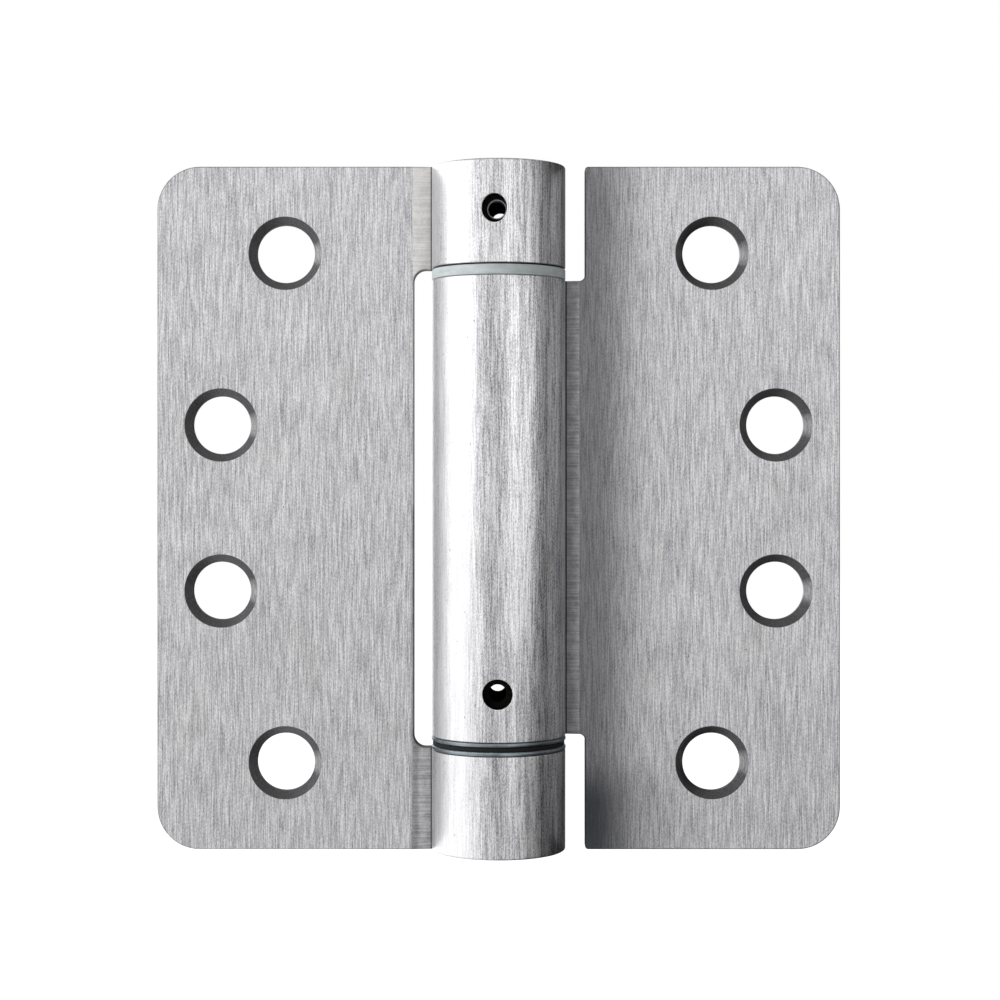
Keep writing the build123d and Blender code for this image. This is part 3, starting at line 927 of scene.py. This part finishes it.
class HINGE_OT_leaves(bpy.types.Operator):
    """Folds both leaves and gives them their plating."""

    bl_idname = "hinge.leaves"
    bl_label = "Leaves"

    def execute(self, context):
        sizes, holes = leaf_sizes(), context.scene.hinge_holes
        across, along = holes.tension_width / 2, holes.tension_height / 2
        tension = (holes.tension_offset, tension_level(), across, along, TENSION_BRIGHT)
        low, radius = UPPER_RACE_HIGH.z + holes.anchor_rise, holes.anchor_width / 2
        anchor = (holes.anchor_offset, low, radius, radius, ANCHOR_BRIGHT)
        for name, side, width, outline, cross in (
            ("jamb", -1, sizes.jamb_strip, jamb_outline, tension),
            ("door", 1, sizes.door_strip, door_outline, anchor),
        ):
            strip_start = LEAF_HIGH.y + width
            points, faces, cut = build_leaf(side, strip_start, outline, screw_places(name), cross)
            material = satin_plate(name, GRAIN_SHIFT * side, strip_start)
            piece = add_piece(f"{name}_plate", points, faces, material, name)
            piece.data.attributes.new("cut", "FLOAT", "POINT").data.foreach_set("value", cut)
            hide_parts(f"{name}_leaf")
        return {"FINISHED"}


BUSH_ROUNDS = np.array((0.2, 0.2, 0.16, 0.16, 0.05, 0.2)) * MM
RACE_EDGE = 0.1 * MM
RIM_STEPS = 6


def turned_ring(name, corners, radii, material, body, sides=160):
    """A ring: a closed outline with rounded corners, revolved."""
    profile = rounded(corners, radii, RIM_STEPS)
    points = revolved(profile, np.linspace(0, 2 * math.pi, sides, endpoint=False))
    faces = grid_faces(len(profile), sides, wrap_rows=True)
    return add_piece(name, points, [faces[:, ::-1]], material, body)


def ring_corners(inner, outer, low, high):
    """A rectangle's corners, clockwise seen from the front on the +X side."""
    return [(inner, low), (inner, high), (outer, high), (outer, low)]


class HINGE_OT_bearings(bpy.types.Operator):
    """Turns the flanged bush, the two steel races and the black ring between them."""

    bl_idname = "hinge.bearings"
    bl_label = "Bearings"

    def execute(self, context):
        sizes = context.scene.hinge_bearings
        nylon = moulded("grey_nylon_moulded", finish().nylon, least_roughness=0.45, ring=0.2)
        sleeve = LEAF_HIGH.y - leaf_sizes().sheet - sizes.seat_clearance
        neck = sleeve - sizes.bush_wall
        flange = BUSH_HIGH.z - sizes.flange
        corners = [
            (neck, BUSH_LOW.z), (neck, BUSH_HIGH.z), (BUSH_HIGH.x, BUSH_HIGH.z),
            (BUSH_HIGH.x, flange), (sleeve, flange), (sleeve, BUSH_LOW.z),
        ]
        bush = turned_ring("flanged_bush", corners, BUSH_ROUNDS, nylon, "door")
        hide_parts("upper_bush")

        steel = turned_steel("race_polish", finish().race, ring=0.3)
        for name, low, high, body in (
            ("upper_race", UPPER_RACE_LOW, UPPER_RACE_HIGH, "door"),
            ("lower_race", LOWER_RACE_LOW, LOWER_RACE_HIGH, "jamb"),
        ):
            radii = (RACE_EDGE, RACE_EDGE, sizes.race_round, sizes.race_round)
            corners = ring_corners(sizes.race_bore, high.x, low.z, high.z)
            ring = turned_ring(f"{name}_ring", corners, radii, steel, body)
            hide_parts(name)

        black = moulded("black_ring_moulded", finish().seal, least_roughness=0.5, ring=0.15, gloss=0.1)
        corners = ring_corners(sizes.race_bore, WASHER_HIGH.x, WASHER_LOW.z, WASHER_HIGH.z)
        seal = turned_ring("seal_ring", corners, RACE_EDGE, black, "jamb")
        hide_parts("bearing_washer")
        return {"FINISHED"}


def tube(path, radius, sides):
    """A round section carried along a path: its two directions are level across the path and square to
    that, and each end closes on its middle point."""
    ahead = unit(np.gradient(path, axis=0))
    across = unit(np.cross(ahead, (0, 0, 1)))
    upward = np.cross(across, ahead)
    turn = np.linspace(0, 2 * math.pi, sides, endpoint=False)[None, :, None]
    around = np.cos(turn) * across[:, None] + np.sin(turn) * upward[:, None]
    rings = path[:, None] + radius * around
    points = np.concatenate([rings.reshape(-1, 3), path[:1], path[-1:]])
    count = len(path) * sides
    number = np.arange(sides)
    following = (number + 1) % sides
    first_cap = np.stack([np.full(sides, count), number, following], 1)
    last_cap = np.stack([np.full(sides, count + 1), count - sides + following, count - sides + number], 1)
    return points, [grid_faces(len(path), sides)[:, ::-1], np.concatenate([first_cap, last_cap])]


# How much longer the plugs' noses are than the wire is thick, and the play at each end of the spring.
NOSE_MARGIN = 1.0 * MM
END_PLAY = 0.1 * MM
COIL_STEPS = 72
ELBOW_STEPS = 24
TANG_STEPS = 19
WIRE_SIDES = 20


def spring_path():
    """The wire's middle line: a helix, and at each end an arc inwards and a straight tang across the axis,
    both in the plane that holds the helix's last direction and the way to the axis."""
    sizes = bpy.context.scene.hinge_spring
    nose = sizes.wire + NOSE_MARGIN
    low, high = ANCHOR_HIGH.z - nose, ADJUSTER_LOW.z + nose
    radius = LEAF_HIGH.y - leaf_sizes().sheet - sizes.clearance - sizes.wire / 2
    room = high - low - sizes.wire - 2 * END_PLAY
    turns = int(room / (sizes.wire + sizes.turn_gap))
    pitch = room / (turns + sizes.elbow / (math.pi * radius))
    slope = math.atan(pitch / (2 * math.pi * radius))
    start = (low + high - turns * pitch) / 2
    turn = np.linspace(0, 2 * math.pi * turns, COIL_STEPS * turns + 1)
    height = start + pitch * turn / (2 * math.pi)
    coils = np.stack([radius * np.cos(turn), radius * np.sin(turn), height], 1)
    bend = math.pi / 2 + math.asin(sizes.elbow / (radius - sizes.elbow))
    part = np.linspace(0, bend, ELBOW_STEPS + 1)[1:]
    arc = sizes.elbow * np.stack([np.sin(part), 1 - np.cos(part)], 1)
    run = math.sqrt((radius - sizes.elbow) ** 2 - sizes.elbow**2) + sizes.tang_reach
    along_tang = np.linspace(0, run, TANG_STEPS + 1)[1:, None]
    flat = np.concatenate([arc, arc[-1] + along_tang * (math.cos(bend), math.sin(bend))])
    ends = []
    for way, end in ((-1, coils[0]), (1, coils[-1])):
        along = np.array([0, way * math.cos(slope), way * math.sin(slope)])
        ends.append(end + flat[:, :1] * along + flat[:, 1:] * np.array([-1.0, 0, 0]))
    return np.concatenate([ends[0][::-1], coils, ends[1]]), low, high


class HINGE_OT_spring(bpy.types.Operator):
    """Winds the torsion spring and bends its ends."""

    bl_idname = "hinge.spring"
    bl_label = "Spring"

    def execute(self, context):
        path, low, high = spring_path()
        points, faces = tube(path, context.scene.hinge_spring.wire / 2, WIRE_SIDES)
        wire = turned_steel("oiled_wire", finish().wire, ring=0.8)
        piece = add_piece("wound_spring", points, faces, wire, None)
        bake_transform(piece)
        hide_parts("torsion_spring")
        return {"FINISHED"}


# The adjuster's own pin hole, where it shows through the jamb leaf's cross hole.
PIN_HOLE_RADIUS = 1.34 * MM
PIN_HOLE_OFFSET = -0.24 * MM


class HINGE_OT_plugs(bpy.types.Operator):
    """Gives the turned plugs, the retainer and the lower bush inside the barrel their finishes."""

    bl_idname = "hinge.plugs"
    bl_label = "Plugs"

    def execute(self, context):
        # Plugs seen in the cross holes: near black as painted shade, the pierced one with a painted
        # highlight.
        bright = turned_steel("plug_turned", finish().turned)
        oiled_and_shaded = turned_steel("plug_oiled_and_shaded", finish().oiled_and_shaded, metallic=0.0)
        rim_highlight = (PIN_HOLE_OFFSET, tension_level(), PIN_HOLE_RADIUS)
        pierced = turned_steel("plug_pierced_shade_and_highlight", finish().oiled_and_shaded, metallic=0.0, rim_highlight=rim_highlight)
        nylon = moulded("inner_nylon", finish().nylon, least_roughness=0.5, ring=0.2)
        for node, material in {
            "tension_adjuster": pierced,
            "adjuster_retainer": bright,
            "spring_anchor": oiled_and_shaded,
            "pivot_plug": bright,
            "lower_bush": nylon,
        }.items():
            frame["nodes"][node].data.materials.clear()
            frame["nodes"][node].data.materials.append(material)
        return {"FINISHED"}


CAMERA_PLACE = (0.2 * MM, -304.2 * MM, 5.0 * MM)
CAMERA_LENS = 73.8
CAMERA_SHIFT = -0.0256
CAMERA_CLIP = (0.01, 20.0)
LAMPS = {
    "left_window": ((-0.8, -0.22, 0.12), (1.2, 0.9), 11.0),
    "top_soft": ((-0.15, -0.55, 0.75), (0.8, 0.4), 1.3),
}
WORLD_LIGHT = 0.32
FLOOR_HEIGHT = LEAF_LOW.z - 0.12
FLOOR_HALF = 3.0
FLOOR_GLOW = 0.75
FLOOR_ROUGHNESS = 0.9
CARD_DISTANCE = 0.55
CARD_LOW, CARD_HIGH = -0.16, 0.6
CARD_COUNT = 72
CARD_LIGHT = 3.0

# The cards' tones by azimuth, and the azimuths where a side starts, is whole, is last whole and ends.
CARD_TONES = (
    (-175, 1.2), (-150, 2.4), (-65, 2.15), (-42, 1.6), (-25, 1.1), (-8, 0.6), (2, 0.52),
    (18, 1.9), (32, 1.3), (46, 2.0), (60, 1.6), (72, 0.42), (90, 0.07), (150, 0.05), (175, 0.8),
)
BESIDE = (-18.0, 10.8, 144.0, 172.8)
RIGHT = (21.6, 46.8, 144.0, 172.8)
LEFT = (-28.8, -57.6, -108.0, -144.0)

# Heights in millimetres over which the cards lose light, and the shares that are lost at the second one.
LOW_CARDS = (100.0, -130.0)
HIGH_CARDS = (35.0, 100.0)
LOW_LOSS, BESIDE_LOSS, RIGHT_LOSS, LEFT_LOSS = 0.15, 0.15, 0.52, 0.12
HIGH_RIGHT_LOSS = 0.58


def stage_surface(name, points, rows, columns, paint, seen):
    """A surface on a grid of points that belongs to the stage. One that isn't seen shows only in gloss."""
    mesh = bpy.data.meshes.new(name)
    faces = grid_faces(rows, columns, wrap_columns=False)
    mesh.from_pydata(points.reshape(-1, 3).tolist(), [], faces.tolist())
    paint.shader.inputs["Specular IOR Level"].default_value = 0.0
    mesh.materials.append(paint.material)
    piece = bpy.data.objects.new(name, mesh)
    for kind in ("camera", "diffuse", "transmission", "shadow", "volume_scatter"):
        setattr(piece, f"visible_{kind}", seen)
    bpy.context.scene.collection.objects.link(piece)


def lay_floor():
    """A level square well below the hinge, which hangs by its leaf. To the camera and in gloss it adds a
    glow to the light that falls on it, so that it is white and keeps the hinge's shadow."""
    paint = Paint("floor", 0.0)
    paint.start.join(opaque(finish().floor), paint.shader.inputs["Base Color"])
    paint.shader.inputs["Roughness"].default_value = FLOOR_ROUGHNESS
    glow = shown(paint.start).blend((0.0,) * 3, (FLOOR_GLOW,) * 3)
    paint.start.join(glow, paint.shader.inputs["Emission Color"])
    paint.shader.inputs["Emission Strength"].default_value = 1.0
    across, along = np.meshgrid((-FLOOR_HALF, FLOOR_HALF), (-FLOOR_HALF, FLOOR_HALF))
    points = np.stack([across, along, np.full_like(across, FLOOR_HEIGHT)], -1)
    stage_surface("floor", points, 2, 2, paint, seen=True)


def on_ring(azimuth):
    """Where an azimuth lies on the ring from 0 to 1. 0 degrees, in front, is the middle."""
    return azimuth / 360 + 0.5


def sector(turned, span):
    """1 from the span's second to its third azimuth, and 0 before its first and past its last."""
    start, whole, last_whole, end = (on_ring(azimuth) for azimuth in span)
    return turned.rise(start, whole) * turned.rise(end, last_whole)


def surround_hinge():
    """The ring of studio cards that the metal reflects: a round sheet just above the stage's floor that
    turns up into a wall. Its tone goes by the azimuth, 0 in front and 90 degrees at +X, and falls towards
    the floor, more so on the right."""
    paint = Paint("studio_cards", 0.0)
    paint.shader.inputs["Base Color"].default_value = (0, 0, 0, 1)
    turned = paint.x.maths("ARCTAN2", paint.x, 0 - paint.y) / (2 * math.pi) + 0.5
    stops = [(on_ring(azimuth), tone / CARD_LIGHT) for azimuth, tone in CARD_TONES]
    tone = paint.start.node("ShaderNodeValToRGB", {0: turned}, stops=stops)
    beside, right, left = (sector(turned, span) for span in (BESIDE, RIGHT, LEFT))
    low_loss = LOW_LOSS + beside * BESIDE_LOSS + right * RIGHT_LOSS + left * LEFT_LOSS
    high_loss = right * HIGH_RIGHT_LOSS
    kept = 1 - paint.z.rise(*LOW_CARDS) * low_loss - paint.z.rise(*HIGH_CARDS) * high_loss
    tone = tone.node("ShaderNodeVectorMath", {0: tone, 3: kept}, operation="SCALE")
    paint.start.join(tone, paint.shader.inputs["Emission Color"])
    paint.shader.inputs["Emission Strength"].default_value = CARD_LIGHT
    paint.material.cycles.emission_sampling = "NONE"
    profile = np.array([(0.0, CARD_LOW), (CARD_DISTANCE, CARD_LOW), (CARD_DISTANCE, CARD_HIGH)])
    turn = np.linspace(-1.5 * math.pi, 0.5 * math.pi, CARD_COUNT + 1)
    points = revolved(profile, turn)
    stage_surface("studio_cards", points, len(profile), len(turn), paint, seen=False)


def lamp(name, place, size, power):
    """A rectangular lamp that points at the hinge."""
    light = bpy.data.lights.new(name, "AREA")
    light.shape = "RECTANGLE"
    light.size, light.size_y = size
    light.energy = power
    piece = bpy.data.objects.new(name, light)
    piece.location = place
    piece.rotation_mode = "QUATERNION"
    piece.rotation_quaternion = (-piece.location).to_track_quat("-Z", "Y")
    piece.visible_glossy = False
    bpy.context.scene.collection.objects.link(piece)


def shown(start):
    """1 to the camera and in reflections and glass, 0 to the light that falls on surfaces."""
    seen = sum(
        start.node("ShaderNodeLightPath", output=name)
        for name in ("Is Camera Ray", "Is Glossy Ray", "Is Transmission Ray")
    )
    return seen.maths("MINIMUM", seen, 1.0)


def white_world(strength):
    """White where it shows, plainer for the light on surfaces."""
    world = bpy.data.worlds.new("studio")
    world.use_nodes = True
    bpy.context.scene.world = world
    start = Shade(world.node_tree)
    background = world.node_tree.nodes["Background"]
    start.join(shown(start).blend((strength,) * 3, (1.0, 1.0, 1.0)), background.inputs["Color"])


class HINGE_OT_stage(bpy.types.Operator):
    """Sets the floor, the studio light and the camera."""

    bl_idname = "hinge.stage"
    bl_label = "Stage"

    def execute(self, context):
        scene = context.scene
        lay_floor()
        surround_hinge()
        for name, (place, size, power) in LAMPS.items():
            lamp(name, place, size, power)
        white_world(WORLD_LIGHT)
        camera = bpy.data.objects.new("camera", bpy.data.cameras.new("camera"))
        camera.location = CAMERA_PLACE
        camera.rotation_euler = (math.pi / 2, 0, 0)
        camera.data.lens = CAMERA_LENS
        camera.data.shift_y = CAMERA_SHIFT
        camera.data.clip_start, camera.data.clip_end = CAMERA_CLIP
        scene.collection.objects.link(camera)
        scene.camera = camera
        scene.view_settings.view_transform = "Standard"
        return {"FINISHED"}


class HINGE_PT_panel(bpy.types.Panel):
    """Lists the hinge's sizes, finishes and steps."""

    bl_label = "Spring hinge"
    bl_idname = "HINGE_PT_panel"
    bl_space_type = "VIEW_3D"
    bl_region_type = "UI"
    bl_category = "Hinge"

    def draw(self, context):
        scene = context.scene
        for group_name, group in GROUPS.items():
            box = self.layout.box()
            for name in group.__annotations__:
                box.prop(getattr(scene, group_name), name)
        for operator in OPERATORS:
            self.layout.operator(operator.bl_idname)


GROUPS = {
    "hinge_leaves": LeafSizes,
    "hinge_holes": HoleSizes,
    "hinge_bearings": BearingSizes,
    "hinge_spring": SpringSizes,
    "hinge_finish": Finish,
}
OPERATORS = (HINGE_OT_leaves, HINGE_OT_bearings, HINGE_OT_spring, HINGE_OT_plugs, HINGE_OT_stage)


def register():
    for made in (*GROUPS.values(), *OPERATORS, HINGE_PT_panel):
        bpy.utils.register_class(made)
    for name, group in GROUPS.items():
        setattr(bpy.types.Scene, name, bpy.props.PointerProperty(type=group))


def unregister():
    for name in GROUPS:
        delattr(bpy.types.Scene, name)
    for made in reversed((*GROUPS.values(), *OPERATORS, HINGE_PT_panel)):
        bpy.utils.unregister_class(made)


def main():
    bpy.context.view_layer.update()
    register()
    for operator in OPERATORS:
        getattr(bpy.ops.hinge, operator.bl_idname.split(".")[1])()


if __name__ == "__main__":
    main()
